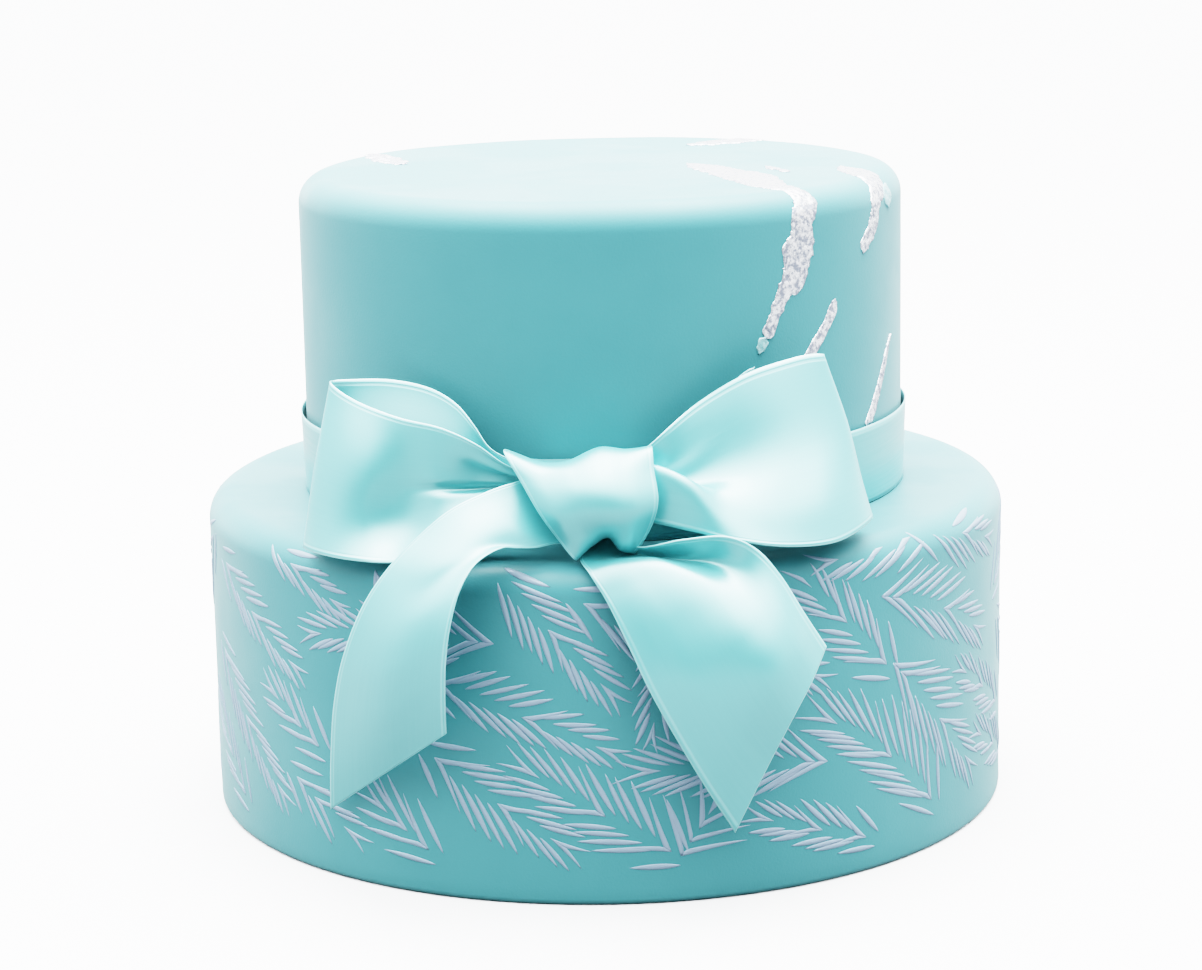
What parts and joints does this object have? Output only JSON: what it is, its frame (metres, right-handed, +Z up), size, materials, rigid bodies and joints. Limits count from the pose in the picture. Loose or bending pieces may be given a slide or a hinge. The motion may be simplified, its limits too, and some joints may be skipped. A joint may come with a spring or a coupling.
{
  "type": "tiered wedding cake",
  "caption": "Tiered round celebration cake in smooth sugar paste, with a ribbon band and tied bow, stencilled fern fronds and shards of silver leaf.",
  "frame": {"origin": "centre of the lower tier's flat underside", "axes": "+Z up along the tiers' axis, -Y toward the bow"},
  "size_m": [0.2088, 0.2227, 0.1641],
  "materials": {
    "lower_paste": "smooth aqua sugar paste, soft satin, with lilac-silver fronds in low relief",
    "upper_paste": "smooth aqua sugar paste, soft satin, with crumpled silver leaf",
    "band_satin": "pale aqua satin ribbon",
    "knot_satin": "pale aqua satin ribbon",
    "loop_left_satin": "pale aqua satin ribbon",
    "loop_right_satin": "pale aqua satin ribbon",
    "tail_left_satin": "pale aqua satin ribbon",
    "tail_right_satin": "pale aqua satin ribbon"
  },
  "bodies": {
    "root": {"lower_tier": "lower_paste", "upper_tier": "upper_paste", "ribbon_band": "band_satin", "bow_knot": "knot_satin", "bow_loop_left": "loop_left_satin", "bow_loop_right": "loop_right_satin", "bow_tail_left": "tail_left_satin", "bow_tail_right": "tail_right_satin"}
  },
  "joints": []
}
